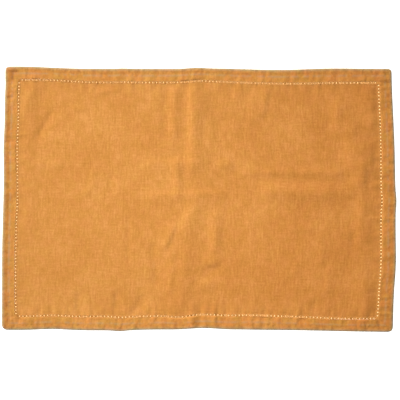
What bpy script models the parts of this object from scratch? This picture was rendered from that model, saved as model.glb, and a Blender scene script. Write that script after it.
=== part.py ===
"""A linen placemat lying flat: one sheet of cloth with a turned double hem and a sunk line of hemstitch.

The cloth is laid out as a flat rectangle first. Its lines follow the hem's own folds. Then its edges get
the slight sway of washed linen, and its face gets the hem's layers, the hemstitch line and soft folds.
X runs along the mat's length, Y along its width, and Z up from the table. Tables are in millimetres.
"""

import math
from collections import namedtuple

import bmesh
import bpy

MM = 0.001

# Finished size of the flat mat, over its hem folds.
HALF_LENGTH = 450 / 2
HALF_WIDTH = 300 / 2
HEMSTITCH_INSET = 16.25
PANEL_STEP = 5.5

# The cloth's section, from the outer fold to the panel: how far in, and how high its face lies.
Level = namedtuple("Level", "inset height")
SECTION = (
    Level(0.0, 0.75),  # outer fold, halfway round
    Level(0.5, 1.25),
    Level(1.6, 1.55),  # two layers of cloth
    Level(6.0, 1.65),
    Level(7.8, 2.05),  # ridge where the turned-in raw edge ends, worn the most
    Level(14.2, 1.9),  # three layers of cloth
    Level(15.4, 1.05),  # drawn threads of the hemstitch
    Level(17.1, 1.05),
    Level(18.6, 1.35),  # panel
)
UNDERSIDE_INSET = 0.4  # the underside's edge lies this far in, under the rounded fold
THINNEST = 1.0
CORNER_LAYERS = 0.35  # what the extra layers folded at a corner add
CORNER_MIDDLE = 7.0
CORNER_SPREAD = 9.0

# Each side's distance from the mat's centre, at its left or lower end and at its other end, and what
# the cloth's sway adds: where along the side, over what reach, and how far out.
Sway = namedtuple("Sway", "at reach out")
Side = namedtuple("Side", "start end sways")
EDGES = {
    "top": Side(150.3, 150.2, (
        Sway(-210, 48, 2.7),
        Sway(-88, 9, 0.5),
        Sway(-1, 15, 1.3),
        Sway(28, 14, 0.4),
        Sway(92, 36, -1.1),
        Sway(160, 30, 0.6),
    )),
    "bottom": Side(150.6, 153.2, (
        Sway(-166, 22, -1.3),
        Sway(-88, 9, 1.0),
        Sway(-45, 32, -1.2),
        Sway(8, 26, -2.6),
        Sway(52, 18, -0.4),
        Sway(90, 85, -1.7),
    )),
    "left": Side(227.4, 223.2, (
        Sway(-60, 50, 0.85),
        Sway(56, 20, 0.8),
        Sway(130, 10, -0.4),
    )),
    "right": Side(222.6, 221.4, (
        Sway(-72, 26, 1.3),
        Sway(-20, 95, 4.3),
        Sway(0, 11, 1.1),
        Sway(70, 50, 1.4),
    )),
}

# The hem's width, from the outer fold to the middle of the hemstitch, in the same columns.
HEMS = {
    "top": Side(16.2, 16.0, (
        Sway(-165, 30, -1.4),
        Sway(12, 20, -0.8),
        Sway(150, 48, 1.2),
    )),
    "bottom": Side(15.9, 15.6, (
        Sway(-108, 20, 0.6),
        Sway(-20, 12, -1.6),
        Sway(66, 30, 1.2),
        Sway(165, 30, -1.0),
    )),
    "left": Side(16.1, 16.1, (
        Sway(-138, 12, 0.9),
        Sway(-2, 16, 0.5),
    )),
    "right": Side(17.9, 15.4, (
        Sway(-138, 12, 0.9),
        Sway(-45, 60, 0.3),
        Sway(85, 24, -0.3),
    )),
}

# Corner radii, by the signs of X and Y.
CORNER_RADII = {(-1, 1): 5.0, (1, 1): 4.5, (1, -1): 6.0, (-1, -1): 7.0}

# Soft folds of the panel: each runs from one point to another, spreads to both sides, and lifts the
# face, or sinks it where the lift is negative.
Fold = namedtuple("Fold", "x1 y1 x2 y2 spread lift")
FOLDS = (
    Fold(-3, 150, -4, 40, 11, 0.75),  # middle fold, upper half
    Fold(-5, 5, -24, -150, 13, 0.7),  # middle fold, lower half
    Fold(-29, 122, -31, 60, 7, 0.35),
    Fold(14, 128, 22, 70, 12, -0.3),
    Fold(75, 10, 172, 10, 8, 0.45),  # two creases across the right half
    Fold(70, 25, 172, 25, 8, -0.3),
    Fold(166, 104, 184, 58, 12, 0.6),  # swell along the right hem
    Fold(184, 58, 192, -40, 12, 0.75),
    Fold(192, -40, 190, -122, 12, 0.7),
    Fold(-198, 112, -198, -45, 9, 0.45),  # swell along the left hem
    Fold(-180, 118, -180, 80, 9, -0.35),
    Fold(-59, -96, -76, -134, 8, -0.35),
    Fold(100, -134, 160, -134, 8, -0.3),
    Fold(18, -76, 16, -80, 8, -0.35),
)
FOLD_IN_HEM = 0.4  # share of a fold's lift that the stiff hem keeps

# Broad puckers across the hem: on which side, where along it, how wide, and how much they lift it.
Pucker = namedtuple("Pucker", "side at spread lift")
PUCKERS = (
    Pucker("bottom", -34, 6, 0.25),
    Pucker("bottom", -20, 6, -0.2),
    Pucker("bottom", -6, 6, 0.4),
    Pucker("bottom", 7, 6, -0.3),
    Pucker("bottom", 19, 6, 0.4),
    Pucker("bottom", 33, 7, -0.2),
    Pucker("top", -16, 7, 0.3),
    Pucker("top", 8, 6, -0.25),
    Pucker("top", 22, 6, 0.3),
    Pucker("right", 86, 6, 0.25),
    Pucker("right", 54, 6, 0.3),
    Pucker("right", 20, 6, -0.25),
    Pucker("right", -2, 6, 0.35),
    Pucker("right", -34, 6, 0.25),
    Pucker("left", 44, 7, 0.25),
    Pucker("left", -8, 7, -0.25),
)

LINEN_COLOUR = (0.70, 0.292, 0.067, 1.0)
LINEN_ROUGHNESS = 0.92


def clear_scene():
    for obj in list(bpy.data.objects):
        bpy.data.objects.remove(obj, do_unlink=True)


def bell(distance, reach):
    return math.exp(-((distance / reach) ** 2))


def between(low, high, share):
    return low + (high - low) * share


def out_at(side, along, half):
    """A side's tabled distance at one place along it."""
    sway = sum(row.out * bell(along - row.at, row.reach) for row in side.sways)
    return between(side.start, side.end, (along + half) / (2 * half)) + sway


def across(place, half, along, other_half, low_name, high_name):
    """Where a flat distance across the mat lies, once both of its sides have their sway."""
    inner = half - HEMSTITCH_INSET
    low = out_at(EDGES[low_name], along, other_half)
    high = out_at(EDGES[high_name], along, other_half)
    low_stitch = low - out_at(HEMS[low_name], along, other_half)
    high_stitch = high - out_at(HEMS[high_name], along, other_half)
    if place < -inner:
        return between(-low_stitch, -low, (-place - inner) / HEMSTITCH_INSET)
    if place > inner:
        return between(high_stitch, high, (place - inner) / HEMSTITCH_INSET)
    return between(-low_stitch, high_stitch, (place + inner) / (2 * inner))


def round_corner(u, v):
    """Pulls the points of a square corner onto the quarter circles inside it."""
    signs = (1 if u > 0 else -1, 1 if v > 0 else -1)
    radius = CORNER_RADII[signs]
    a = max(0.0, abs(u) - HALF_LENGTH + radius) / radius
    b = max(0.0, abs(v) - HALF_WIDTH + radius) / radius
    u -= signs[0] * radius * a * (1 - math.sqrt(1 - b * b / 2))
    v -= signs[1] * radius * b * (1 - math.sqrt(1 - a * a / 2))
    return u, v


def swayed(u, v):
    """The place on the table of a point of the flat cloth."""
    u, v = round_corner(u, v)
    x = across(u, HALF_LENGTH, v, HALF_WIDTH, "left", "right")
    y = across(v, HALF_WIDTH, u, HALF_LENGTH, "bottom", "top")
    return x, y


def section_height(inset):
    """The face's height at a distance in from the outer fold, before any fold of the panel."""
    for outer, inner in zip(SECTION, SECTION[1:]):
        if inset <= inner.inset:
            share = (inset - outer.inset) / (inner.inset - outer.inset)
            return between(outer.height, inner.height, share)
    return SECTION[-1].height


def distance_to(fold, u, v):
    """How far a point lies from a fold's line."""
    run_x = fold.x2 - fold.x1
    run_y = fold.y2 - fold.y1
    share = ((u - fold.x1) * run_x + (v - fold.y1) * run_y) / (run_x**2 + run_y**2)
    share = min(max(share, 0.0), 1.0)
    return math.hypot(u - fold.x1 - share * run_x, v - fold.y1 - share * run_y)


def pucker_lift(u, v):
    """What the puckers that cross the nearest side's hem add there."""
    if HALF_LENGTH - abs(u) < HALF_WIDTH - abs(v):
        side, along = ("right" if u > 0 else "left"), v
    else:
        side, along = ("top" if v > 0 else "bottom"), u
    return sum(row.lift * bell(along - row.at, row.spread) for row in PUCKERS if row.side == side)


def face_height(u, v):
    """The cloth face's height over the table, at a point of the flat cloth."""
    inset_u = HALF_LENGTH - abs(u)
    inset_v = HALF_WIDTH - abs(v)
    inset = min(inset_u, inset_v)
    height = section_height(inset)
    if inset < SECTION[1].inset:
        return height
    lift = sum(fold.lift * bell(distance_to(fold, u, v), fold.spread) for fold in FOLDS)
    corner = CORNER_LAYERS * bell(inset_u - CORNER_MIDDLE, CORNER_SPREAD)
    corner *= bell(inset_v - CORNER_MIDDLE, CORNER_SPREAD)
    panel_share = min(max((inset - SECTION[-2].inset) / HEMSTITCH_INSET, 0.0), 1.0)
    height += lift * between(FOLD_IN_HEM, 1.0, panel_share)
    height += corner + pucker_lift(u, v) * (1 - panel_share)
    return max(height, THINNEST)


def cloth_lines(half):
    """Grid lines across the mat: the hem's section at both sides, and even steps over the panel."""
    insets = [level.inset for level in SECTION]
    inner = half - insets[-1]
    steps = round(2 * inner / PANEL_STEP)
    panel = [between(-inner, inner, step / steps) for step in range(1, steps)]
    return [inset - half for inset in insets] + panel + [half - inset for inset in reversed(insets)]


def flat_cloth(bm):
    """A grid whose lines lie where the cloth's section and panel steps put them."""
    columns = cloth_lines(HALF_LENGTH)
    rows = cloth_lines(HALF_WIDTH)
    last_column = len(columns) - 1
    last_row = len(rows) - 1
    bmesh.ops.create_grid(bm, x_segments=last_column, y_segments=last_row, size=1.0)
    for vertex in bm.verts:
        vertex.co.x = columns[round((vertex.co.x + 1) / 2 * last_column)]
        vertex.co.y = rows[round((vertex.co.y + 1) / 2 * last_row)]


def inside(place, half):
    """Draws the outermost line in, for the underside of the rounded fold."""
    return max(min(place, half - UNDERSIDE_INSET), UNDERSIDE_INSET - half)


def shape_face(vertices):
    for vertex in vertices:
        u, v = vertex.co.x, vertex.co.y
        x, y = swayed(u, v)
        vertex.co = (x * MM, y * MM, face_height(u, v) * MM)


def shape_underside(vertices):
    for vertex in vertices:
        u = inside(vertex.co.x, HALF_LENGTH)
        v = inside(vertex.co.y, HALF_WIDTH)
        x, y = swayed(u, v)
        vertex.co = (x * MM, y * MM, 0.0)


def centre_on_box(bm):
    """Puts the middle of the mat's outline over the origin."""
    for axis in (0, 1):
        places = [vertex.co[axis] for vertex in bm.verts]
        middle = (min(places) + max(places)) / 2
        for vertex in bm.verts:
            vertex.co[axis] -= middle


def placemat_mesh():
    bm = bmesh.new()
    flat_cloth(bm)
    underside = list(bm.verts)
    grown = bmesh.ops.extrude_face_region(bm, geom=list(bm.faces))
    face = [item for item in grown["geom"] if isinstance(item, bmesh.types.BMVert)]
    shape_face(face)
    shape_underside(underside)
    centre_on_box(bm)
    bmesh.ops.recalc_face_normals(bm, faces=list(bm.faces))
    mesh = bpy.data.meshes.new("placemat")
    bm.to_mesh(mesh)
    bm.free()
    return mesh


def linen_material():
    material = bpy.data.materials.new("ochre_linen")
    material.use_nodes = True
    shader = material.node_tree.nodes["Principled BSDF"]
    shader.inputs["Base Color"].default_value = LINEN_COLOUR
    shader.inputs["Roughness"].default_value = LINEN_ROUGHNESS
    shader.inputs["Metallic"].default_value = 0.0
    return material


def main():
    clear_scene()
    collection = bpy.data.collections.new("fabric_placemat")
    bpy.context.scene.collection.children.link(collection)
    placemat = bpy.data.objects.new("placemat", placemat_mesh())
    placemat.data.materials.append(linen_material())
    placemat.data.shade_smooth()
    placemat.data.set_sharp_from_angle(angle=math.radians(40))
    collection.objects.link(placemat)


main()
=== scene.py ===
"""Looks of a hemstitched linen placemat: the cloth, its turned hem, the hemstitch and its sewing.

Places are worked out on the flat cloth first, in millimetres: u runs along the mat's length, v
along its width, and an inset goes in from the outer fold. swayed() gives the place on the table.
"""

import math
from collections import namedtuple

import bpy
import numpy as np
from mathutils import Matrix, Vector, noise

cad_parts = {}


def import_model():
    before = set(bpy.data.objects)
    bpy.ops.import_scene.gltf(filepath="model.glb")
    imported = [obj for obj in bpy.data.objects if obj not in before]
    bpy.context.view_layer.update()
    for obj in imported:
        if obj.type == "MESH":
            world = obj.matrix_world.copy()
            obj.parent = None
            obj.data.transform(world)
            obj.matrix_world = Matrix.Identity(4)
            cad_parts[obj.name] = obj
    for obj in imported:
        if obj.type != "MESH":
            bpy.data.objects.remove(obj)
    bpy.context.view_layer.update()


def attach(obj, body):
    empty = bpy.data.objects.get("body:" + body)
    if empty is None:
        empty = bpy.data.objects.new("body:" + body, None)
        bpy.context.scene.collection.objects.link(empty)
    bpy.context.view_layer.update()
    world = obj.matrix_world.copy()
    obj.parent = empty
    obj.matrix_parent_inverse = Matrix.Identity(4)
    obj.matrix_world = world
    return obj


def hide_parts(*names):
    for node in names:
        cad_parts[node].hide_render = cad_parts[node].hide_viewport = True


MM = 0.001

# ---------------------------------------------------------------- the mat's plan, as in its solid

HALF_LENGTH = 450 / 2
HALF_WIDTH = 300 / 2
HEMSTITCH_INSET = 16.25

SIDES = ("top", "right", "bottom", "left")  # clockwise from the top left corner

# Each side's distance from the mat's centre, at its left or lower end and at its other end, and
# what the cloth's sway adds: where along the side, in u or v, over what reach, and how far out.
Sway = namedtuple("Sway", "at reach out")
Side = namedtuple("Side", "start end sways")
EDGES = {
    "top": Side(150.3, 150.2, (
        Sway(-210, 48, 2.7),
        Sway(-88, 9, 0.5),
        Sway(-1, 15, 1.3),
        Sway(28, 14, 0.4),
        Sway(92, 36, -1.1),
        Sway(160, 30, 0.6),
    )),
    "bottom": Side(150.6, 153.2, (
        Sway(-166, 22, -1.3),
        Sway(-88, 9, 1.0),
        Sway(-45, 32, -1.2),
        Sway(8, 26, -2.6),
        Sway(52, 18, -0.4),
        Sway(90, 85, -1.7),
    )),
    "left": Side(227.4, 223.2, (
        Sway(-60, 50, 0.85),
        Sway(56, 20, 0.8),
        Sway(130, 10, -0.4),
    )),
    "right": Side(222.6, 221.4, (
        Sway(-72, 26, 1.3),
        Sway(-20, 95, 4.3),
        Sway(0, 11, 1.1),
        Sway(70, 50, 1.4),
    )),
}

# The hem's width, from the outer fold to the middle of the hemstitch, in the same columns.
HEMS = {
    "top": Side(16.2, 16.0, (
        Sway(-165, 30, -1.4),
        Sway(12, 20, -0.8),
        Sway(150, 48, 1.2),
    )),
    "bottom": Side(15.9, 15.6, (
        Sway(-108, 20, 0.6),
        Sway(-20, 12, -1.6),
        Sway(66, 30, 1.2),
        Sway(165, 30, -1.0),
    )),
    "left": Side(16.1, 16.1, (
        Sway(-138, 12, 0.9),
        Sway(-2, 16, 0.5),
    )),
    "right": Side(17.9, 15.4, (
        Sway(-138, 12, 0.9),
        Sway(-45, 60, 0.3),
        Sway(85, 24, -0.3),
    )),
}

Corners = namedtuple("Corners", "top_left top_right bottom_right bottom_left")
CORNER_RADII = Corners(5.0, 4.5, 6.0, 7.0)

# ---------------------------------------------------------------- folds, creases and puckers

# A fold's two ends, how far it spreads to either side, and how far it lifts the cloth.
Fold = namedtuple("Fold", "x1 y1 x2 y2 spread lift")
FOLDS = (
    Fold(-3, 150, -4, 40, 11, 0.75),  # middle fold, upper half
    Fold(-5, 5, -24, -150, 13, 0.7),  # middle fold, lower half
    Fold(-29, 122, -31, 60, 7, 0.35),
    Fold(14, 128, 22, 70, 12, -0.3),
    Fold(75, 10, 172, 10, 8, 0.45),  # two creases across the right half
    Fold(70, 25, 172, 25, 8, -0.3),
    Fold(166, 104, 184, 58, 12, 0.6),  # swell along the right hem
    Fold(184, 58, 192, -40, 12, 0.75),
    Fold(192, -40, 190, -122, 12, 0.1),
    Fold(-198, 112, -198, -45, 9, 0.45),  # swell along the left hem
    Fold(-180, 118, -180, 80, 9, -0.35),
    Fold(-59, -96, -76, -134, 8, -0.35),
    Fold(50, -134, 162, -134, 8, -0.35),
    Fold(18, -76, 16, -80, 8, -0.35),
)
FOLD_IN_HEM = 0.4  # share of a fold's lift that the stiff hem keeps
FOLD_FADE = HEMSTITCH_INSET  # this far inside the hemstitch a fold has all its lift, a pucker none

# Narrower creases, left by folding and washing, which the solid is too coarse for. Each runs north
# or east, and has one spread to its left, which the light reaches first, and one to its right.
Crease = namedtuple("Crease", "x1 y1 x2 y2 left right lift")
CREASES = (
    Crease(-7.5, 36, -7.5, 138, 4.5, 22, 0.95),  # the middle fold's crest and the folds beside it
    Crease(3.5, 68, 3.5, 84, 8, 8, -0.6),
    Crease(4, 124, 4, 133, 4.5, 5, -0.5),
    Crease(-28, 78, -28, 125, 6, 6, 0.6),
    Crease(-39, 76, -39, 126, 4.5, 8, -0.5),
    Crease(-25.5, 9, -25.5, 42, 6, 6, 0.9),
    Crease(-56, 41.5, -11, 41.5, 4, 9, 0.55),
    Crease(-52, 5, 20, 5, 3.5, 10, 0.7),
    Crease(27, 39, 33, 39, 6, 6, 0.95),
    Crease(-19, -36, -6, -12, 6.5, 12, 0.6),  # the middle fold's crest, lower half
    Crease(-36.5, -52, -29.5, -35, 8, 2.8, 1.0),  # sharpest crease, aslant under the middle
    Crease(-31, -66, -30, -58, 4.5, 6, 0.6),
    Crease(-31, -102, -31, -78, 4.5, 5, 0.6),
    Crease(-18, -118, -18, -66, 4.5, 10, 0.3),
    Crease(-52, -66, -52, -56, 4, 6, -0.6),
    Crease(-47.5, -97, -48.5, -75, 4, 6, -0.65),
    Crease(19, -58, 18.5, -22, 6, 7, 0.8),
    Crease(20, -49, 20, -38, 5, 4, 0.45),
    Crease(14, -75, 17.5, -75, 8, 4, 1.4),
    Crease(12, -85, 17, -85, 8, 8, -0.4),
    Crease(10, -98, 13, -98, 4.5, 8, 0.65),
    Crease(-137, -131, -137, -112, 3.2, 6, -0.75),  # valleys that run up from the lower hemstitch
    Crease(-93, -132, -93, -110, 3.2, 7, -0.9),
    Crease(-73.5, -131, -64, -115, 3.5, 8, -0.9),
    Crease(33, -131, 33, -122, 3.5, 5, -0.45),
    Crease(73, -131, 84, -131, 5, 3, -0.6),
    Crease(134, -129, 134, -120, 4, 6, -0.6),
    Crease(52, 29, 80, 31, 5, 4, 0.35),  # creases across the right half
    Crease(82, 31.5, 158, 31.5, 4.6, 6.5, 0.7),
    Crease(82, 7.5, 148, 7.5, 9, 9, 0.75),
    Crease(110, -33, 127, -33, 5, 4, 0.4),
    Crease(141, -70, 141, -42, 5, 3, 0.35),
    Crease(149, -101, 149, -80, 3.5, 5, 0.4),
    Crease(112, -82, 112, -74, 4, 3.5, 0.4),
    Crease(198.5, 88, 198.5, 130, 12, 6, 0.9),  # the panel's turn down to the right hemstitch
    Crease(195, 38, 195, 58, 10, 6, 1.1),
    Crease(187, 24, 187, 38, 10, 5, 0.8),
    Crease(186.5, -36, 186.5, -8, 5, 10, 0.45),
    Crease(189, -96, 189, -62, 9, 6, 0.35),
    Crease(195, -134, 195, -103, 12, 6, 1.2),
    Crease(174, 40, 174, 78, 8, 8, 0.8),
    Crease(160, 82, 160, 106, 6, 8, 0.7),
    Crease(177, -50, 177, -40, 4.5, 6, -0.6),
    Crease(-199.5, 103, -191.5, 128, 7, 6, 0.45),  # beside the upper left corner
    Crease(-186.5, 69, -169, 99, 3, 6, -0.55),
    Crease(-187, 38, -183, 38, 4, 5, 0.4),
    Crease(-168, 38, -162, 38, 4, 5, 0.45),
    Crease(-131, 7, -129, 9, 3, 4, 0.4),
    Crease(-122, 16, -122, 30, 4, 6, 0.35),
    Crease(-114, 123, -98, 123.5, 3.5, 3, 0.5),
    Crease(-145, 102.5, -133, 102.5, 3, 3, 0.35),
    Crease(-80.5, -68, -80, -22, 2.5, 4, -0.35),
    Crease(-102, 10, -102, 24, 3, 5, -0.35),
    Crease(74, 101, 79.5, 128, 9, 3.5, 0.7),
    Crease(43.5, 114, 44, 128, 5, 4.5, 0.5),
    Crease(61, 94, 61, 114, 5, 7, 0.5),
)
CREASE_FADE = 7.0  # this far inside the hemstitch a crease has all its lift

# The solid's broad puckers across the hem, and then the narrower ones between them. Each is at a
# place along its side, in u or v.
Pucker = namedtuple("Pucker", "side at spread lift")
PUCKERS = (
    Pucker("bottom", -34, 6, 0.25),
    Pucker("bottom", -20, 6, -0.2),
    Pucker("bottom", -6, 6, 0.4),
    Pucker("bottom", 7, 6, -0.3),
    Pucker("bottom", 19, 6, 0.4),
    Pucker("bottom", 33, 7, -0.2),
    Pucker("top", -16, 7, 0.3),
    Pucker("top", 8, 6, -0.25),
    Pucker("top", 22, 6, 0.3),
    Pucker("right", 86, 6, 0.25),
    Pucker("right", 54, 6, 0.3),
    Pucker("right", 20, 6, -0.25),
    Pucker("right", -2, 6, 0.35),
    Pucker("right", -34, 6, 0.25),
    Pucker("left", 44, 7, 0.25),
    Pucker("left", -8, 7, -0.25),
    Pucker("right", 113, 3.5, 0.4),  # the narrower ones
    Pucker("right", 94, 3.5, 0.4),
    Pucker("right", 50, 3.5, 0.45),
    Pucker("right", 19, 3.5, 0.45),
    Pucker("right", -21, 3.5, 0.4),
    Pucker("right", -41, 3.5, 0.4),
    Pucker("right", -62, 3.5, 0.4),
    Pucker("bottom", -41, 3, 0.3),
    Pucker("bottom", -27, 3, 0.35),
    Pucker("bottom", -12, 3, 0.35),
    Pucker("bottom", -5.5, 2.6, 0.85),
    Pucker("bottom", 9, 2.6, 0.7),
    Pucker("bottom", 20.5, 2.6, 0.85),
    Pucker("bottom", 29, 3, 0.35),
    Pucker("bottom", 40, 3, 0.3),
)

# How the cloth between the puckers rolls, fine and broad: how far each wave leans across the hem,
# how far it is from hill to hill, and which layer of the noise it comes from.
Rumple = namedtuple("Rumple", "lean size layer")
RUMPLES = (
    Rumple(0.35, 3.6, 3.0),
    Rumple(0.1, 7.5, 5.0),
)
RUMPLE_LIFTS = (0.5, 0.48, 0.66, 0.44)  # a lift for each of the SIDES
SIDES_APART = 40.0  # in the noise, so that no side's rumples are another's

# The whole cloth's fine unevenness: its lift, how far it is from hill to hill, how much longer it
# is along u and along v, and which layer of the noise it comes from.
Crumple = namedtuple("Crumple", "lift size long_u long_v layer")
CRUMPLES = (
    Crumple(0.14, 26, 1.0, 1.6, 0.0),
    Crumple(0.145, 9, 1.0, 1.8, 1.0),
    Crumple(0.09, 5, 1.0, 2.5, 2.0),
    Crumple(0.06, 5, 2.5, 1.0, 4.0),
)
CRUMPLE_GAIN = 0.4  # how much more the upper right end has, and the lower left end less
CRUMPLE_SLANT = 0.5  # how much v counts for that, beside u
CRUMPLE_REACH = 150  # from the middle to where it is all more, or all less

CORNER_LAYERS = 0.35  # what the extra layers folded at a corner add
CORNER_MIDDLE = 7.0  # how far in from both edges they are thickest
CORNER_SPREAD = 9.0

# A groove crosses the hem where one hem's end lies under the other, and the corners' turns dip.
CORNER_MARKS = (
    Fold(211, 134.6, 225, 134.2, 1.3, -0.55),  # top right: the top hem lies over the other
    Fold(209.5, -136.5, 211.5, -150, 1.3, -0.5),  # bottom right: the right hem lies over the other
    Fold(-215.5, 143.6, -211, 143.8, 1.8, -0.6),  # top left: dents in the turn of the ridge
    Fold(-215.8, 143, -215.8, 135.5, 1.6, -0.5),
    Fold(-217.5, -136, -217, -138, 1.5, -0.4),  # bottom left: a dent there
)

# ---------------------------------------------------------------- the cloth and its hem

CLOTH_THICKNESS = 0.45
SHARP_ANGLE = 50  # the cut edges keep their corners in the shading
PANEL_INSET = 17.45  # where the panel ends at the hemstitch
# Inset and height of the panel's face, which is level further in.
PANEL_FACE = ((17.45, 1.51), (19.5, 1.48), (23.0, 1.43), (30.0, 1.36))
LOWEST_MIDDLE = 0.26  # the cloth's middle is never lower, so that it lies on the table, not in it

# The hem's section along the middle of the cloth: from the hemstitch out over the top, round the
# outer fold, back along the table, and up round the inner fold to the raw edge. The share is how
# much of the face's relief reaches that place.
Bend = namedtuple("Bend", "inset height share")
HEM_SECTION = (
    Bend(14.95, 1.59, 0.2),
    Bend(14.6, 1.63, 0.6),
    Bend(13.9, 1.65, 1.0),
    Bend(12.0, 1.67, 1.0),
    Bend(10.2, 1.69, 1.0),
    Bend(8.7, 1.72, 1.0),
    Bend(7.8, 1.74, 1.0),  # ridge over the raw edge
    Bend(7.0, 1.69, 1.0),
    Bend(6.0, 1.65, 1.0),
    Bend(4.4, 1.68, 1.0),
    Bend(2.8, 1.71, 1.0),
    Bend(1.6, 1.66, 1.0),
    Bend(0.9, 1.5, 0.8),
    Bend(0.5, 1.14, 0.5),
    Bend(0.28, 0.68, 0.2),
    Bend(0.4, 0.40, 0.0),
    Bend(0.9, 0.26, 0.0),
    Bend(2.0, 0.23, 0.0),
    Bend(7.5, 0.23, 0.0),
    Bend(13.2, 0.23, 0.0),
    Bend(14.0, 0.30, 0.0),
    Bend(14.3, 0.50, 0.0),
    Bend(14.0, 0.72, 0.0),
    Bend(13.2, 0.80, 0.1),
    Bend(8.4, 0.80, 0.1),
)
TOP_SHARE = 0.5  # bends that follow more of the relief than this are the hem's face

# Where the cloth's colour changes, and over what spread.
WEAR_INSET = 8.4
WEAR_SPREAD = 1.25
OUTER_FADE = 2.0
RIM_SPREAD = 2.2
STITCHED_SPREAD = 3.6
HEM_EDGE_INSET = 14.9  # where the hem ends at the hemstitch
EDGE_SPREAD = 0.9
HEM_SHADES = (0.4, 0.0, 0.0, 0.8)  # painted shade: how dark the outer half of the hem is on each of the SIDES
TUCK_GAIN = 2

# ---------------------------------------------------------------- the hemstitch

# One row of holes a side: how far they are apart, how many there are, how far they stand open and
# how unevenly. The cloth's lines lie at every hole and every bundle, one step apart.
Row = namedtuple("Row", "pitch holes open uneven")
ROWS = {
    "top": Row(4.1, 101, 0.38, 0.42),
    "right": Row(3.9, 68, 1.15, 0.1),
    "bottom": Row(4.1, 101, 0.44, 0.42),
    "left": Row(3.9, 68, 0.8, 0.18),
}
LEAST_GAP = 0.3  # between two lines
LEAST_END = 0.3  # of a step, between the last even line and the end
CORNER_REACH = 20.0  # this near to a corner, the hem has extra lines
CORNER_STEP = 1.0
MITRE_REACH = 16.0  # near a corner the lines across the hem lean over to its diagonal
SCALLOP = 0.2  # the cloth's edge draws back at each hole and runs out at each bundle
STITCH_PUCKER = 0.1  # how far the cloth's edge rises between the bundles
STITCH_PUCKER_REACH = 3.0

THREAD_RADIUS = 0.28
THREAD_SIDES = 6
BUNDLE_THREADS = 6
LOOSE_GAP = 0.683  # from thread to thread at the ends of a bundle
TIGHT_GAP = 0.42  # and at its waist, where the row stands open
OPEN_LIMITS = (0.05, 1.25)  # how little and how far a bundle's hole stands open
THREAD_STRAY = 0.06  # how far a thread is off its place at the waist
THREAD_STACK = 0.09  # how far the middle threads rise there
CORNER_YARNS = 6
CORNER_GAP = 0.46
CORNER_WEAVE = 0.06  # how far a yarn passes over and under the others

# What chance() is asked: each side's bundles, and each bundle's threads, have numbers of their own.
SIDE_NUMBERS = 200
BUNDLE_NUMBERS = 7
SCATTER = (12.9898, 43758.5453)  # two uneven factors, which scatter whole numbers

# The bundle's threads: inset, height, how far they are from the waist, 1 at the cloth, and the
# share of the cloth's relief that they follow.
Strand = namedtuple("Strand", "inset height spread share")
STRANDS = (
    Strand(14.5, 1.46, 1.0, 0.6),
    Strand(15.0, 1.48, 1.0, 0.2),
    Strand(15.5, 1.45, 0.65, 0.3),
    Strand(15.9, 1.4, 0.1, 0.45),
    Strand(16.5, 1.36, 0.1, 0.65),
    Strand(17.0, 1.34, 0.65, 0.85),
    Strand(17.5, 1.33, 1.0, 1.0),
    Strand(18.1, 1.3, 1.0, 1.0),
)

SEWING_RADIUS = 0.13
SEWING_ROWS = ((15.0, -1), (17.4, 1))  # inset of each row, and which way its short stitches run
SEWING_POINTS = 9
BAR_GAP = 0.1  # from a bar's end to the middle of the hole
BAR_END = 0.9  # height of a bar's ends, which go down into the holes
BAR_RISE = 1.45
BAR_IN_HEM = 0.16  # how much higher it lies on the hem
BAR_SHARES = (1.0, 0.2)  # of the cloth's relief, in the panel and in the hem
STITCH_LENGTH = 1.3
STITCH_DIP = 0.35  # how far the short stitch's end goes down into the cloth
DIP_START = 0.75
# Inset and height of the short stitches over each edge, and inset and share of the cloth's relief.
HEM_ARCH = ((13.5, 1.87), (14.5, 1.85), (14.95, 1.8), (15.1, 1.3))
PANEL_ARCH = ((17.3, 1.2), (17.5, 1.52), (18.0, 1.6), (19.0, 1.58))
STITCH_SHARES = ((13.9, 1.0), (14.6, 0.6), (14.95, 0.2), (17.45, 1.0))


def bell(distance, reach):
    return np.exp(-((distance / reach) ** 2))


def between(low, high, share):
    return low + (high - low) * share


def out_at(side, along, half):
    """A side's distance from the mat's centre, or its hem's width, at a place along it."""
    sway = sum(row.out * bell(along - row.at, row.reach) for row in side.sways)
    return between(side.start, side.end, (along + half) / (2 * half)) + sway


def across(place, half, along, other_half, low_name, high_name):
    """Where a flat distance across the mat lies, once both of its sides have their sway."""
    inner = half - HEMSTITCH_INSET
    low_hem = out_at(HEMS[low_name], along, other_half)
    high_hem = out_at(HEMS[high_name], along, other_half)
    low_stitch = low_hem - out_at(EDGES[low_name], along, other_half)
    high_stitch = out_at(EDGES[high_name], along, other_half) - high_hem
    middle = between(low_stitch, high_stitch, np.clip((place + inner) / (2 * inner), 0, 1))
    below = low_hem * np.maximum(-place - inner, 0) / HEMSTITCH_INSET
    above = high_hem * np.maximum(place - inner, 0) / HEMSTITCH_INSET
    return middle + above - below


def round_corner(u, v):
    """Pulls the points of a square corner onto the quarter circles inside it."""
    left = np.where(v > 0, CORNER_RADII.top_left, CORNER_RADII.bottom_left)
    right = np.where(v > 0, CORNER_RADII.top_right, CORNER_RADII.bottom_right)
    radius = np.where(u > 0, right, left)
    a = np.maximum(0, abs(u) - HALF_LENGTH + radius) / radius
    b = np.maximum(0, abs(v) - HALF_WIDTH + radius) / radius
    drawn_u = radius * a * (1 - np.sqrt(1 - b * b / 2))
    drawn_v = radius * b * (1 - np.sqrt(1 - a * a / 2))
    return u - np.sign(u) * drawn_u, v - np.sign(v) * drawn_v


def swayed(u, v):
    """The place on the table of points of the flat cloth."""
    u, v = round_corner(u, v)
    x = across(u, HALF_LENGTH, v, HALF_WIDTH, "left", "right")
    y = across(v, HALF_WIDTH, u, HALF_LENGTH, "bottom", "top")
    return x, y


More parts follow.
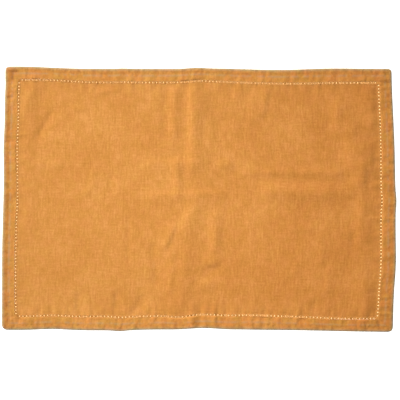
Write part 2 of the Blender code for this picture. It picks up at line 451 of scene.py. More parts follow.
def outline_middle():
    """The middle of the mat's outline, which goes over the origin."""
    across_mat = np.linspace(-1, 1, 2001)
    whole = np.ones_like(across_mat)
    u = np.concatenate([across_mat, whole, across_mat, -whole]) * HALF_LENGTH
    v = np.concatenate([whole, across_mat, -whole, across_mat]) * HALF_WIDTH
    x, y = swayed(u, v)
    return (x.min() + x.max()) / 2, (y.min() + y.max()) / 2


MIDDLE = outline_middle()


def placed(u, v, height):
    """Places in the scene, in metres, of points of the cloth at their height over the table."""
    x, y = swayed(u, v)
    return np.stack([x - MIDDLE[0], y - MIDDLE[1], np.broadcast_to(height, x.shape)], axis=-1) * MM


def distance_to(fold, u, v):
    run_x = fold.x2 - fold.x1
    run_y = fold.y2 - fold.y1
    share = ((u - fold.x1) * run_x + (v - fold.y1) * run_y) / (run_x**2 + run_y**2)
    share = np.clip(share, 0, 1)
    return np.hypot(u - fold.x1 - share * run_x, v - fold.y1 - share * run_y)


def lift_of(folds, u, v):
    return sum(fold.lift * bell(distance_to(fold, u, v), fold.spread) for fold in folds)


def crease_lift(u, v):
    """What the creases add, each with its own spread on either side."""
    lift = np.zeros(u.shape)
    for crease in CREASES:
        run_x = crease.x2 - crease.x1
        run_y = crease.y2 - crease.y1
        distance = distance_to(crease, u, v)
        aside = (run_x * (v - crease.y1) - run_y * (u - crease.x1)) / math.hypot(run_x, run_y)
        leftness = np.clip(0.5 + 0.5 * aside / np.maximum(distance, 1e-6), 0, 1)
        lift += crease.lift * bell(distance, between(crease.right, crease.left, leftness))
    return lift


def rolling(u, v, size, layer):
    """Even, smooth unevenness from -1 to 1, about that far from hill to hill."""
    points = zip(np.ravel(u) / size, np.ravel(v) / size)
    values = [noise.noise(Vector((a, b, layer))) for a, b in points]
    return np.array(values).reshape(np.shape(u))


def insets(u, v):
    return HALF_LENGTH - abs(u), HALF_WIDTH - abs(v)


def side_and_along(u, v):
    """The index in SIDES of each point's nearest side, and the point's place along it, u or v."""
    inset_u, inset_v = insets(u, v)
    level = inset_v < inset_u
    side = np.where(level, np.where(v > 0, 0, 2), np.where(u > 0, 1, 3))
    return side, np.where(level, u, v)


def pucker_lift(u, v):
    """What the puckers that cross the nearest hem add."""
    side, along = side_and_along(u, v)
    lift = np.zeros(u.shape)
    for row in PUCKERS:
        there = side == SIDES.index(row.side)
        lift += np.where(there, row.lift * bell(along - row.at, row.spread), 0)
    inset = np.minimum(*insets(u, v))
    rumple = 0
    for row in RUMPLES:
        rumple = rumple + rolling(along, row.lean * inset + SIDES_APART * side, row.size, row.layer)
    return lift + np.choose(side, RUMPLE_LIFTS) * rumple


def relief(u, v):
    """What folds, creases, puckers and corners add to the face's height."""
    inset_u, inset_v = insets(u, v)
    in_panel = np.minimum(inset_u, inset_v) - PANEL_INSET
    panel_share = np.clip(in_panel / FOLD_FADE, 0, 1)
    crease_share = np.clip(in_panel / CREASE_FADE, 0, 1)
    crumple = sum(
        row.lift * rolling(u / row.long_u, v / row.long_v, row.size, row.layer) for row in CRUMPLES
    )
    crumple *= 1 + CRUMPLE_GAIN * np.clip((u + CRUMPLE_SLANT * v) / CRUMPLE_REACH, -1, 1)
    lift = lift_of(FOLDS, u, v) * between(FOLD_IN_HEM, 1.0, panel_share) + crumple
    lift += crease_lift(u, v) * between(FOLD_IN_HEM, 1.0, crease_share)
    corner = CORNER_LAYERS * bell(inset_u - CORNER_MIDDLE, CORNER_SPREAD)
    corner *= bell(inset_v - CORNER_MIDDLE, CORNER_SPREAD)
    return lift + corner + lift_of(CORNER_MARKS, u, v) + pucker_lift(u, v) * (1 - panel_share)


def at_holes(along, row):
    """1 at a hole of the row, and -1 at a bundle."""
    shift = row.pitch / 2 * (1 - row.holes % 2)
    return np.cos(2 * math.pi * (along - shift) / row.pitch)


def stitch_pucker(level, distance):
    """How the cloth rises between the bundles that draw it down, this far from the hemstitch."""
    return STITCH_PUCKER * level * np.exp(-distance / STITCH_PUCKER_REACH)


def even_lines(end, row, extra=()):
    """Lines at every hole and bundle, at both ends, and extra ones that aren't too near to them."""
    step = row.pitch / 2
    steps = int(end / step - LEAST_END)
    even = np.concatenate([[-end], np.arange(-steps, steps + 1) * step, [end]])
    apart = [line for line in extra if min(abs(even - line)) > LEAST_GAP]
    return np.unique(np.concatenate([even, apart]))


def quads_of_grid(index, around=False):
    """The faces between the lines of a grid of vertex numbers, which may close on itself."""
    nearer = index if around else index[:-1]
    farther = np.roll(index, -1, axis=0) if around else index[1:]
    corners = [nearer[:, :-1], farther[:, :-1], farther[:, 1:], nearer[:, 1:]]
    return np.stack(corners, axis=-1).reshape(-1, 4)


def panel_sheet():
    """The panel's middle surface: flat places, heights and faces."""
    end_u = HALF_LENGTH - PANEL_INSET
    end_v = HALF_WIDTH - PANEL_INSET
    lines_u = even_lines(end_u, ROWS["top"])
    lines_v = even_lines(end_v, ROWS["left"])
    u, v = np.meshgrid(lines_u, lines_v, indexing="ij")
    level_u, level_v = at_holes(u, ROWS["top"]), at_holes(v, ROWS["left"])
    edge_u = SCALLOP * level_v * np.sign(u) * (abs(u) == end_u)
    edge_v = SCALLOP * level_u * np.sign(v) * (abs(v) == end_v)
    inset_u, inset_v = insets(u, v)
    inset = np.minimum(inset_u, inset_v)
    level = np.where(inset_v < inset_u, level_u, level_v)
    base = np.interp(inset, *zip(*PANEL_FACE)) - CLOTH_THICKNESS / 2
    height = base + relief(u, v) + stitch_pucker(level, inset - PANEL_INSET)
    height = np.maximum(height, LOWEST_MIDDLE)
    index = np.arange(u.size).reshape(u.shape)
    return u - edge_u, v - edge_v, height, quads_of_grid(index)


def columns(table):
    return (np.array(column) for column in zip(*table))


def turned(along, out, quarter):
    """Places on the top side's hem, turned clockwise to another side."""
    along, out = np.broadcast_arrays(along, out)
    return ((along, out), (out, -along), (-along, -out), (-out, along))[quarter]


def halves(quarter):
    """Half of the side's own length, and how far the side lies from the middle."""
    return (HALF_LENGTH, HALF_WIDTH) if quarter % 2 == 0 else (HALF_WIDTH, HALF_LENGTH)


def hem_stations(quarter):
    """Lines across one side's hem, where they meet the hemstitch, but not its second corner's."""
    end = halves(quarter)[0] - HEMSTITCH_INSET
    near = np.arange(end - CORNER_REACH, end, CORNER_STEP)
    return even_lines(end, ROWS[SIDES[quarter]], np.concatenate([near, -near]))[:-1]


def hem_sheet():
    """The hem's middle surface, swept round the mat: flat places, heights and faces."""
    inset, base, share = columns(HEM_SECTION)
    rows = []
    for quarter in range(len(SIDES)):
        own_half, out_half = halves(quarter)
        station = hem_stations(quarter)[:, None]
        to_corner = own_half - HEMSTITCH_INSET - abs(station)
        lean = np.clip(1 - to_corner / MITRE_REACH, 0, 1) ** 2
        along = station + np.sign(station) * lean * (HEMSTITCH_INSET - inset)
        level = at_holes(station, ROWS[SIDES[quarter]])
        edge = np.where(inset == inset[0], SCALLOP * level, 0)
        u, v = turned(along, out_half - inset, quarter)
        drawn_u, drawn_v = turned(along, out_half - inset + edge, quarter)
        pucker = stitch_pucker(level, inset[0] - inset)
        height = base + share * (relief(u, v) + pucker)
        rows.append((drawn_u, drawn_v, height))
    u, v, height = (np.concatenate(part) for part in zip(*rows))
    index = np.arange(u.size).reshape(u.shape)
    return u, v, height, quads_of_grid(index, around=True)


def mesh_object(name, points, faces, material):
    mesh = bpy.data.meshes.new(name)
    mesh.from_pydata(points.reshape(-1, 3).tolist(), [], [list(face) for face in faces])
    mesh.validate()
    mesh.materials.append(material)
    mesh.shade_smooth()
    obj = bpy.data.objects.new(name, mesh)
    bpy.context.scene.collection.objects.link(obj)
    return obj


def lay_out(obj, name, u, v):
    """Gives the mesh a map of the flat cloth, in millimetres, that its weave follows."""
    corners = np.empty(len(obj.data.loops), np.int32)
    obj.data.loops.foreach_get("vertex_index", corners)
    flat = np.stack([np.ravel(u), np.ravel(v)], axis=-1)[corners]
    obj.data.uv_layers.new(name=name).data.foreach_set("uv", flat.astype(np.float32).ravel())


def mark(obj, name, values):
    """Gives each of the mesh's points a number that its material reads."""
    attribute = obj.data.attributes.new(name, "FLOAT", "POINT")
    attribute.data.foreach_set("value", np.ravel(values).astype(np.float32))


def linen_cloth(material):
    """The panel and the hem, each a thin sheet, with the hemstitch open between them."""
    panel_u, panel_v, panel_height, panel_faces = panel_sheet()
    hem_u, hem_v, hem_height, hem_faces = hem_sheet()
    u = np.concatenate([panel_u.ravel(), hem_u.ravel()])
    v = np.concatenate([panel_v.ravel(), hem_v.ravel()])
    height = np.concatenate([panel_height.ravel(), hem_height.ravel()])
    faces = panel_faces.tolist() + (hem_faces + panel_u.size).tolist()
    cloth = mesh_object("linen_cloth", placed(u, v, height), faces, material)
    lay_out(cloth, "cloth_uv", u, v)
    inset = np.minimum(*insets(u, v))
    on_top = np.array([bend.share > TOP_SHARE for bend in HEM_SECTION])
    in_hem = np.concatenate([np.zeros(panel_u.size), np.tile(on_top, len(hem_u))])
    mark(cloth, "ridge_wear", in_hem * bell(inset - WEAR_INSET, WEAR_SPREAD))
    mark(cloth, "hem", in_hem)
    outer_hem = in_hem * np.clip((WEAR_INSET - inset) / OUTER_FADE, 0, 1)
    mark(cloth, "outer_hem", outer_hem)
    # painted shade over the outer half of the hem, strongest on the left and the top
    mark(cloth, "painted_hem_shade", outer_hem * np.choose(side_and_along(u, v)[0], HEM_SHADES))
    # the outer fold's rim: worn, and darkened by painted shade where it turns down
    mark(cloth, "rim", bell(inset, RIM_SPREAD))
    # the cloth drawn denser beside the hemstitch, darkened there also by painted shade
    mark(cloth, "stitched_and_shaded", bell(inset - HEMSTITCH_INSET, STITCHED_SPREAD))
    # painted light: paler colour along the cut edges of the hem and the panel at the hemstitch,
    # against their shade
    edges = bell(inset - HEM_EDGE_INSET, EDGE_SPREAD) + bell(inset - PANEL_INSET, EDGE_SPREAD)
    mark(cloth, "painted_light_at_edges", edges)
    # painted shade, deepest where the corner marks' grooves are deepest
    mark(cloth, "painted_tuck_shade", np.clip(-lift_of(CORNER_MARKS, u, v) * TUCK_GAIN, 0, 1))
    thicken(cloth, CLOTH_THICKNESS * MM)
    return cloth


def thicken(obj, thickness):
    """Makes the middle surface a sheet of that thickness."""
    solidify = obj.modifiers.new("thickness", "SOLIDIFY")
    solidify.thickness = thickness
    solidify.offset = 0.0
    bpy.context.view_layer.objects.active = obj
    bpy.ops.object.modifier_apply(modifier=solidify.name)
    obj.data.set_sharp_from_angle(angle=math.radians(SHARP_ANGLE))


# ---------------------------------------------------------------- threads

UP = (0.0, 0.0, 1.0)


def tubes(paths, radius):
    """Points and faces of round threads along about level paths, by thread, point and xyz."""
    tangent = np.gradient(paths, axis=1)
    tangent /= np.linalg.norm(tangent, axis=-1, keepdims=True)
    first = np.cross(tangent, np.broadcast_to(UP, paths.shape))
    first /= np.linalg.norm(first, axis=-1, keepdims=True)
    second = np.cross(tangent, first)
    turn = np.linspace(0, 2 * math.pi, THREAD_SIDES, endpoint=False)[:, None]
    ring = first[:, :, None] * np.cos(turn) + second[:, :, None] * np.sin(turn)
    points = paths[:, :, None] + ring * radius
    index = np.arange(points[..., 0].size).reshape(points.shape[:3])
    after = np.roll(index, -1, axis=2)
    corners = [index[:, :-1], after[:, :-1], after[:, 1:], index[:, 1:]]
    walls = np.stack(corners, axis=-1).reshape(-1, 4)
    caps = np.concatenate([index[:, 0, ::-1], index[:, -1]])
    return points, walls.tolist() + caps.tolist()


def thread_object(name, paths, radius, material):
    """All of these threads as one mesh, with a map that runs along and round each thread."""
    points, faces = tubes(paths, radius)
    obj = mesh_object(name, points, faces, material)
    steps = np.linalg.norm(np.diff(paths, axis=1, prepend=paths[:, :1]), axis=-1)
    length = np.cumsum(steps, axis=1) / MM
    around = np.arange(THREAD_SIDES) / THREAD_SIDES
    along_map = np.broadcast_to(length[:, :, None], points.shape[:3])
    around_map = np.broadcast_to(around, points.shape[:3])
    lay_out(obj, "thread_uv", along_map, around_map)
    return obj


def chance(number):
    """An even, repeatable number from -1 to 1 for each whole number."""
    wave = np.sin(number * SCATTER[0]) * SCATTER[1]
    return 2 * (wave - np.floor(wave)) - 1


def bundle_middles(name):
    """Where the bundles of one row are: between its holes, and one past each end hole."""
    row = ROWS[name]
    return (np.arange(row.holes + 1) - row.holes / 2) * row.pitch


def bundle_paths():
    """The threads that cross the hemstitch, drawn together into bundles."""
    inset, height, spread, share = columns(STRANDS)
    place = (np.arange(BUNDLE_THREADS) - (BUNDLE_THREADS - 1) / 2)[:, None]
    paths = []
    for quarter, name in enumerate(SIDES):
        middles = bundle_middles(name)[:, None, None]
        number = np.arange(middles.size)[:, None, None] + SIDE_NUMBERS * quarter
        openness = np.clip(ROWS[name].open + ROWS[name].uneven * chance(number), *OPEN_LIMITS)
        gap = between(between(LOOSE_GAP, TIGHT_GAP, openness), LOOSE_GAP, spread)
        stray = THREAD_STRAY * chance(number * BUNDLE_NUMBERS + place) * (1 - spread)
        stack = THREAD_STACK * (1 - abs(place) / 2) * (1 - spread) * openness
        path = laid(quarter, middles + place * gap + stray, inset, height + stack, share)
        paths.append(path.reshape(-1, len(STRANDS), 3))
    return np.concatenate(paths + [corner_paths(inset, height, share)])


def corner_paths(inset, height, share):
    """The yarns that still cross each other at the corners, where none was drawn out."""
    paths = []
    yarn = np.arange(CORNER_YARNS)[:, None]
    place = HEMSTITCH_INSET + (yarn - (CORNER_YARNS - 1) / 2) * CORNER_GAP
    weave_over = CORNER_WEAVE * np.cos(math.pi * (yarn + np.arange(len(inset))))
    for sign_u in (-1, 1):
        for sign_v in (-1, 1):
            for inset_u, inset_v, over in ((place, inset, weave_over), (inset, place, -weave_over)):
                u = sign_u * (HALF_LENGTH - inset_u)
                v = sign_v * (HALF_WIDTH - inset_v)
                u, v = np.broadcast_arrays(u, v)
                paths.append(placed(u, v, height + over + share * relief(u, v)))
    return np.concatenate(paths)


def laid(quarter, along, inset, height, share):
    """Places of a path on one side, at a height over the flat cloth and a share of its relief."""
    u, v = turned(along, halves(quarter)[1] - inset, quarter)
    return placed(u, v, height + share * relief(u, v))


def sewing_paths():
    """The sewing thread: a bar over each bundle at both edges, and a short stitch at each hole."""
    step = np.linspace(-1, 1, SEWING_POINTS)
    reach = np.linspace(0, 1, SEWING_POINTS)
    dip = STITCH_DIP * np.clip((reach - DIP_START) / (1 - DIP_START), 0, 1)
    bars, stitches = [], []
    for quarter, name in enumerate(SIDES):
        middles = bundle_middles(name)[:, None]
        holes = (middles[1:] + middles[:-1]) / 2
        for inset, way in SEWING_ROWS:
            in_hem = inset < HEMSTITCH_INSET
            along = middles + step * (ROWS[name].pitch / 2 - BAR_GAP)
            rise = between(BAR_END, BAR_RISE + BAR_IN_HEM * in_hem, 1 - step**4)
            bars.append(laid(quarter, along, inset, rise, BAR_SHARES[in_hem]))
            row = inset + way * STITCH_LENGTH * reach
            over_edge = HEM_ARCH if in_hem else PANEL_ARCH
            arch = np.interp(row, *zip(*over_edge)) - dip
            share = np.interp(row, *zip(*STITCH_SHARES))
            stitches.append(laid(quarter, holes, row, arch, share))
    return np.concatenate(bars), np.concatenate(stitches)


# ---------------------------------------------------------------- materials

LINEN = (0.60, 0.242, 0.047, 1.0)
LINEN_DEEP = (0.44, 0.150, 0.019, 1.0)
LINEN_PALE = (0.78, 0.37, 0.094, 1.0)
LINEN_WORN = (0.51, 0.257, 0.105, 1.0)
# painted light for the cut edges at the hemstitch
EDGE_PAINTED_LIGHT = (0.60, 0.26, 0.062, 1.0)
# the rim: a worn fold edge, with painted shade where the fold turns down
RIM_WORN_AND_SHADED = (0.43, 0.345, 0.215, 1.0)
YARN = (0.62, 0.27, 0.058, 1.0)
YARN_DEEP = (0.50, 0.20, 0.032, 1.0)
# What the colour is multiplied by in some places.
# painted shade over the outer half of the hem
PAINTED_HEM_SHADE = (0.82, 0.79, 0.73, 1.0)
OUTER_SPOT = (0.86, 0.83, 0.80, 1.0)
YELLOW_TONE = (0.99, 1.015, 0.935, 1.0)
RED_TONE = (1.01, 0.985, 1.03, 1.0)
OLIVE_TONE = (0.97, 1.03, 0.9, 1.0)
ORANGE_TONE = (1.03, 0.965, 0.93, 1.0)
STITCHED_AND_SHADED = (0.905, 0.91, 0.91, 1.0)  # drawn together at both edges of the hemstitch, and painted shade there
PAINTED_TUCK_SHADE = (0.72, 0.68, 0.64, 1.0)  # painted shade in the grooves where a layer of the hem ends at a corner
RIGHT_END = (0.93, 0.86, 0.785, 1.0)

SPECULAR = 0.25
SHEEN_WEIGHT = 0.08
SHEEN_ROUGHNESS = 0.5
SHEEN_TINT = (1.0, 0.86, 0.68, 1.0)

YARN_PITCH = 0.55  # about 18 yarns to the centimetre both ways
YARN_RELIEF = 0.04
YARN_WOBBLE = 1.6  # how far the yarns wander, in pitches
WOBBLE_SCALE = 0.12
PILLOW_POWER = 0.5  # a yarn is flat along its top and dips only at its ends
SLUB_JUMP = 3.71  # from one yarn to the next, in the noise that their slubs come from
SLUB_SCALE = 0.07  # along a yarn
SLUB_SHADE = 0.4
SLUB_RELIEF = 0.5
SLUB_ROUGHNESS = 0.12
LINEN_ROUGHNESS = 0.82
SHADE_START = -0.6
GAP_PAINTED_SHADE = 0.78  # painted shade: how light the colour is in the gaps between yarns
GAP_RANGE = 0.3
HEM_SPOT_SCALE = 0.3
HEM_SPOTS = 9.0  # height of the hem's soft bumps, in yarns

# What makes the linen paler or deeper: a noise's scale along u and along v, its detail and weight.
Shade = namedtuple("Shade", "u_scale v_scale detail weight")
SHADES = (
    Shade(0.5, 0.5, 1.0, 0.45),  # grain
    Shade(0.5, 0.09, 1.0, 0.5),  # long, thin streaks that follow the yarns across the mat
    Shade(0.09, 0.5, 1.0, 0.25),  # and along it
    Shade(0.09, 0.09, 2.0, 0.25),  # blotches
    Shade(0.02, 0.02, 1.0, 0.4),  # clouds
)

# Soft patches: a noise's scale and detail, what it is multiplied by, and what it starts from.
Patch = namedtuple("Patch", "scale detail gain start")
WORN_PATCHES = Patch(0.16, 2.0, 5.0, -1.8)
OUTER_PATCHES = Patch(0.22, 1.0, 5.0, -2.3)
TONE_PATCHES = Patch(0.09, 2.0, 4.0, -1.5)
HEM_TONE_PATCHES = Patch(0.075, 2.0, 4.0, -1.5)

# The colour deepens towards the right end, from a place on and over a reach, and sooner lower down.
RIGHT_START = 10.0
RIGHT_REACH = 165.0
LOWER_START = 0.25
LOWER_REACH = 150.0
LOWER_SHARE = 0.5
LESS_IN_HEM = -0.4

YARN_TWIST = 1.1  # length of one turn
SEWING_TWIST = 0.5
# painted shade: how much deeper the colour is in the twist's grooves
TWIST_PAINTED_SHADE = 0.4
TWIST_RELIEF = 0.03
FIBRE_SCALE = 900.0
FIBRE_SHADE = 0.6
FIBRE_ROUGHNESS = 0.2
THREAD_ROUGHNESS = 0.72


class Nodes:
    """Makes a material's nodes, one line each."""

    def __init__(self, name):
        self.material = bpy.data.materials.new(name)
        self.material.use_nodes = True
        self.tree = self.material.node_tree
        self.shader = self.tree.nodes["Principled BSDF"]

    def feed(self, socket, value):
        if isinstance(value, bpy.types.NodeSocket):
            self.tree.links.new(value, socket)
        else:
            socket.default_value = value

    def add(self, kind, output=0, settings=(), **inputs):
        node = self.tree.nodes.new("ShaderNode" + kind)
        for name, value in dict(settings).items():
            setattr(node, name, value)
        for name, value in inputs.items():
            self.feed(node.inputs[name.replace("_", " ")], value)
        return node.outputs[output]

    def math(self, operation, *values):
        node = self.tree.nodes.new("ShaderNodeMath")
        node.operation = operation
        for socket, value in zip(node.inputs, values):
            self.feed(socket, value)
        return node.outputs[0]

    def clip(self, value):
        return self.math("MINIMUM", self.math("MAXIMUM", value, 0.0), 1.0)

    def mix(self, share, low, high):
        node = self.tree.nodes.new("ShaderNodeMix")
        node.data_type = "FLOAT"
        self.feed(node.inputs[0], share)
        self.feed(node.inputs[2], low)
        self.feed(node.inputs[3], high)
        return node.outputs[0]

    def mix_colour(self, share, low, high, blend="MIX"):
        node = self.tree.nodes.new("ShaderNodeMix")
        node.data_type = "RGBA"
        node.blend_type = blend
        self.feed(node.inputs[0], share)
        self.feed(node.inputs[6], low)
        self.feed(node.inputs[7], high)
        return node.outputs[2]

    def noise(self, vector, scale, detail=2.0):
        return self.add("TexNoise", Vector=vector, Scale=scale, Detail=detail, Roughness=0.5)

    def split(self, vector):
        """The vector's first two parts."""
        node = self.tree.nodes.new("ShaderNodeSeparateXYZ")
        self.feed(node.inputs[0], vector)
        return node.outputs[0], node.outputs[1]

    def stretched(self, u, v, u_scale, v_scale):
        """A place for a noise, with its own scale along u and along v."""
        long_u = self.math("MULTIPLY", u, u_scale)
        long_v = self.math("MULTIPLY", v, v_scale)
        return self.add("CombineXYZ", X=long_u, Y=long_v)

    def patches(self, vector, patch):
        """Soft patches, 0 outside them and 1 in their middles."""
        noise_there = self.noise(vector, patch.scale, patch.detail)
        return self.clip(self.math("MULTIPLY_ADD", noise_there, patch.gain, patch.start))

    def attribute(self, name):
        return self.add("Attribute", output=2, settings={"attribute_name": name})

    def finish(self, colour, roughness, height, distance):
        bump = self.add("Bump", Height=height, Strength=1.0, Distance=distance)
        self.feed(self.shader.inputs["Base Color"], colour)
        self.feed(self.shader.inputs["Roughness"], roughness)
        self.feed(self.shader.inputs["Normal"], bump)
        self.shader.inputs["Specular IOR Level"].default_value = SPECULAR
        self.shader.inputs["Sheen Weight"].default_value = SHEEN_WEIGHT
        self.shader.inputs["Sheen Roughness"].default_value = SHEEN_ROUGHNESS
        self.shader.inputs["Sheen Tint"].default_value = SHEEN_TINT
        return self.material


def weave(nodes, u, v):
    """Plain weave: its height, from 0 to 1, and its slubs, the unevenness from yarn to yarn."""
    wobble = nodes.noise(nodes.stretched(u, v, WOBBLE_SCALE, WOBBLE_SCALE), 1.0, detail=3.0)
    wobble = nodes.math("MULTIPLY_ADD", wobble, YARN_WOBBLE, -YARN_WOBBLE / 2)
    warp = nodes.math("MULTIPLY_ADD", u, 1 / YARN_PITCH, wobble)
    weft = nodes.math("MULTIPLY_ADD", v, 1 / YARN_PITCH, wobble)
    warp_number = nodes.math("FLOOR", warp)
    weft_number = nodes.math("FLOOR", weft)
    warp_round = nodes.math("SINE", nodes.math("MULTIPLY", nodes.math("FRACT", warp), math.pi))
    weft_round = nodes.math("SINE", nodes.math("MULTIPLY", nodes.math("FRACT", weft), math.pi))
    weft_over = nodes.math("FLOORED_MODULO", nodes.math("ADD", warp_number, weft_number), 2.0)
    warp_pillow = nodes.math("MULTIPLY", warp_round, nodes.math("POWER", weft_round, PILLOW_POWER))
    weft_pillow = nodes.math("MULTIPLY", weft_round, nodes.math("POWER", warp_round, PILLOW_POWER))
    height = nodes.mix(weft_over, warp_pillow, weft_pillow)
    warp_slub = nodes.noise(nodes.stretched(warp_number, v, SLUB_JUMP, SLUB_SCALE), 1.0, 1.0)
    weft_slub = nodes.noise(nodes.stretched(u, weft_number, SLUB_SCALE, SLUB_JUMP), 1.0, 1.0)
    return height, nodes.mix(weft_over, warp_slub, weft_slub)


def dyed(nodes, u, v, height, slub):
    """The linen's colour: uneven dye, with painted shade that darkens the gaps between the yarns.
    """
    shade = nodes.math("MULTIPLY_ADD", slub, SLUB_SHADE, SHADE_START)
    for row in SHADES:
        place = nodes.stretched(u, v, row.u_scale, row.v_scale)
        shade = nodes.math("MULTIPLY_ADD", nodes.noise(place, 1.0, row.detail), row.weight, shade)
    ramp = nodes.tree.nodes.new("ShaderNodeValToRGB")
    ramp.color_ramp.elements[0].color = LINEN_DEEP
    ramp.color_ramp.elements[1].color = LINEN_PALE
    ramp.color_ramp.elements.new(0.5).color = LINEN
    nodes.feed(ramp.inputs[0], shade)
    # painted shade: the colour darkens where the weave lies low, between the yarns
    gap = nodes.math("MULTIPLY_ADD", height, GAP_RANGE, GAP_PAINTED_SHADE)
    return nodes.mix_colour(1.0, ramp.outputs[0], gap, "MULTIPLY")


def right_share(nodes, u, v):
    """How much of the right end's tone the colour takes."""
    lower = nodes.clip(nodes.math("MULTIPLY_ADD", v, -1 / LOWER_REACH, LOWER_START))
    share = nodes.math("MULTIPLY_ADD", u, 1 / RIGHT_REACH, -RIGHT_START / RIGHT_REACH)
    share = nodes.math("MULTIPLY_ADD", lower, LOWER_SHARE, share)
    less = nodes.math("MULTIPLY_ADD", nodes.attribute("hem"), LESS_IN_HEM, 1.0)
    return nodes.math("MULTIPLY", nodes.math("MAXIMUM", share, 0.0), less)


def linen_material():
    """Ochre linen: woven, unevenly dyed, worn along the ridge and deeper at the right end, with
    painted shade at the worn rim and in the hollows, and painted light at the cut edges.
    """
    nodes = Nodes("ochre_linen")
    flat = nodes.add("UVMap", settings={"uv_map": "cloth_uv"})
    u, v = nodes.split(flat)
    height, slub = weave(nodes, u, v)
    colour = dyed(nodes, u, v, height, slub)
    wear = nodes.math("MULTIPLY", nodes.attribute("ridge_wear"), nodes.patches(flat, WORN_PATCHES))
    colour = nodes.mix_colour(wear, colour, LINEN_WORN)
    # painted shade over the outer hem, beside the hemstitch and in the corner grooves
    for name, tint in (("painted_hem_shade", PAINTED_HEM_SHADE), ("stitched_and_shaded", STITCHED_AND_SHADED), ("painted_tuck_shade", PAINTED_TUCK_SHADE)):
        colour = nodes.mix_colour(nodes.attribute(name), colour, tint, "MULTIPLY")
    colour = nodes.mix_colour(nodes.attribute("rim"), colour, RIM_WORN_AND_SHADED)
    # painted light along the cut edges at the hemstitch
    colour = nodes.mix_colour(nodes.attribute("painted_light_at_edges"), colour, EDGE_PAINTED_LIGHT)
    spot = nodes.math("MULTIPLY", nodes.patches(flat, OUTER_PATCHES), nodes.attribute("outer_hem"))
    colour = nodes.mix_colour(spot, colour, OUTER_SPOT, "MULTIPLY")
    for patch, share, yellow, red in (
        (TONE_PATCHES, 1.0, YELLOW_TONE, RED_TONE),
        (HEM_TONE_PATCHES, nodes.attribute("hem"), OLIVE_TONE, ORANGE_TONE),
    ):
        tone = nodes.mix_colour(nodes.patches(flat, patch), yellow, red)
        colour = nodes.mix_colour(share, colour, tone, "MULTIPLY")
    colour = nodes.mix_colour(right_share(nodes, u, v), colour, RIGHT_END, "MULTIPLY")
    roughness = nodes.math("MULTIPLY_ADD", slub, SLUB_ROUGHNESS, LINEN_ROUGHNESS)
    relief_height = nodes.math("MULTIPLY_ADD", slub, SLUB_RELIEF, height)
    spots = nodes.math("SUBTRACT", nodes.noise(flat, HEM_SPOT_SCALE, detail=1.0), 0.5)
    spots = nodes.math("MULTIPLY", spots, nodes.attribute("hem"))
    relief_height = nodes.math("MULTIPLY_ADD", spots, HEM_SPOTS, relief_height)
    return nodes.finish(colour, roughness, relief_height, YARN_RELIEF * MM)


def thread_material(name, pale, deep, twist):
    """Twisted yarn: fine ridges that wind round the thread, with painted shade in the grooves
    between them.
    """
    nodes = Nodes(name)
    length, around = nodes.split(nodes.add("UVMap", settings={"uv_map": "thread_uv"}))
    turns = nodes.math("MULTIPLY_ADD", length, 1 / twist, around)
    ridge = nodes.math("SINE", nodes.math("MULTIPLY", turns, 2 * math.pi))
    ridge = nodes.math("MULTIPLY_ADD", ridge, 0.5, 0.5)
    fibres = nodes.noise(nodes.add("TexCoord", output=3), FIBRE_SCALE)
    fibre_share = nodes.math("MULTIPLY", fibres, FIBRE_SHADE)
    # painted shade in the twist's grooves, mixed with uneven fibres
    share = nodes.math("MULTIPLY_ADD", ridge, TWIST_PAINTED_SHADE, fibre_share)
    colour = nodes.mix_colour(share, deep, pale)
    roughness = nodes.math("MULTIPLY_ADD", fibres, FIBRE_ROUGHNESS, THREAD_ROUGHNESS)
    return nodes.finish(colour, roughness, ridge, TWIST_RELIEF * MM)


# ---------------------------------------------------------------- floor, light and camera (metres)

FLOOR_SIZE = 24.0
FLOOR_DROP = 0.0001  # under the cloth, so that they don't share a plane
FLOOR_WHITES = ((0.93, 0.93, 0.93, 1.0), (0.95, 0.95, 0.95, 1.0))
FLOOR_GRAIN = 40.0
FLOOR_ROUGHNESS = 0.8
FLOOR_SPECULAR = 0.1
# painted light: under the mat the floor is coloured and glows warm, as if lit through the linen
UNDER_MAT_PAINTED_WARMTH = (0.90, 0.76, 0.44, 1.0)
UNDER_MAT = (0.212, 0.138)  # half sizes of the patch of floor under the cloth that is painted warm and glows warm
WHITE = (1.0, 1.0, 1.0, 1.0)
GLOW_WARM = (1.0, 0.79, 0.37, 1.0)
GLOW_UNDER = 0.94
GLOW_OPEN = 0.9

Light = namedtuple("Light", "name place size power target spread")
LIGHTS = (
    Light("key_light", (-2.3, 1.9, 1.95), 0.9, 14.2, (0.12, -0.09, 0.0), 45.0),
    Light("top_light", (0.0, -0.05, 1.9), 0.2, 0.235, (0.0, -0.05, 0.0), 28.0),
)
STUDIO_STRENGTH = 0.15

FRAME_SPAN = 0.4607  # what the photo's frame takes in at the mat
FRAME_MIDDLE = (0.00115, -0.00104)
LENS = 100.0  # lens and sensor in millimetres
SENSOR = 36.0


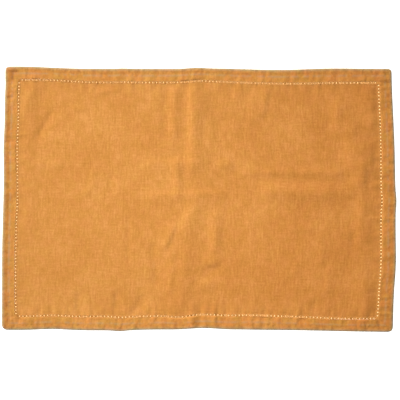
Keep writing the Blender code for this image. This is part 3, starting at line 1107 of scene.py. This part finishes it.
def stage_floor():
    """A pale, lit table top that glows; under the mat, painted light: a warm colour and a warm glow
    for the light that comes through the linen.
    """
    bpy.ops.mesh.primitive_plane_add(size=FLOOR_SIZE, location=(0, 0, -FLOOR_DROP))
    floor = bpy.context.active_object
    floor.name = "floor"
    nodes = Nodes("pale_floor")
    place = nodes.add("TexCoord", output=3)
    white = nodes.mix_colour(nodes.noise(place, FLOOR_GRAIN), *FLOOR_WHITES)
    past = [
        nodes.math("SUBTRACT", nodes.math("ABSOLUTE", part), half)
        for part, half in zip(nodes.split(place), UNDER_MAT)
    ]
    open_floor = nodes.math("GREATER_THAN", nodes.math("MAXIMUM", *past), 0.0)
    inputs = nodes.shader.inputs
    # painted light: warm colour and warm glow under the mat
    nodes.feed(inputs["Base Color"], nodes.mix_colour(open_floor, UNDER_MAT_PAINTED_WARMTH, white))
    nodes.feed(inputs["Emission Color"], nodes.mix_colour(open_floor, GLOW_WARM, WHITE))
    nodes.feed(inputs["Emission Strength"], nodes.mix(open_floor, GLOW_UNDER, GLOW_OPEN))
    inputs["Roughness"].default_value = FLOOR_ROUGHNESS
    inputs["Specular IOR Level"].default_value = FLOOR_SPECULAR
    floor.data.materials.append(nodes.material)


def area_light(row):
    light = bpy.data.lights.new(row.name, "AREA")
    light.shape = "DISK"
    light.size = row.size
    light.energy = row.power
    light.spread = math.radians(row.spread)
    obj = bpy.data.objects.new(row.name, light)
    obj.location = row.place
    aim = Vector(row.target) - Vector(row.place)
    obj.rotation_euler = aim.to_track_quat("-Z", "Y").to_euler()
    bpy.context.scene.collection.objects.link(obj)


def light_scene():
    for row in LIGHTS:
        area_light(row)
    world = bpy.data.worlds.new("studio")
    world.use_nodes = True
    background = world.node_tree.nodes["Background"]
    background.inputs["Color"].default_value = WHITE
    background.inputs["Strength"].default_value = STUDIO_STRENGTH
    bpy.context.scene.world = world
    bpy.context.scene.view_settings.view_transform = "Standard"


def add_camera():
    camera = bpy.data.cameras.new("camera")
    camera.lens = LENS
    camera.sensor_width = SENSOR
    obj = bpy.data.objects.new("camera", camera)
    obj.location = (*FRAME_MIDDLE, FRAME_SPAN * LENS / SENSOR)
    bpy.context.scene.collection.objects.link(obj)
    bpy.context.scene.camera = obj


def main():
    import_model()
    linen = linen_material()
    yarn = thread_material("linen_yarn", YARN, YARN_DEEP, YARN_TWIST)
    sewing = thread_material("sewing_thread", LINEN, LINEN_DEEP, SEWING_TWIST)
    cloth = linen_cloth(linen)
    ladder = thread_object("hemstitch_threads", bundle_paths(), THREAD_RADIUS * MM, yarn)
    bars, stitches = sewing_paths()
    bar_sewing = thread_object("sewing_bars", bars, SEWING_RADIUS * MM, sewing)
    edge_sewing = thread_object("sewing_stitches", stitches, SEWING_RADIUS * MM, sewing)
    for piece in (cloth, ladder, bar_sewing, edge_sewing):
        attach(piece, "root")
        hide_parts("placemat")
    stage_floor()
    light_scene()
    add_camera()


main()
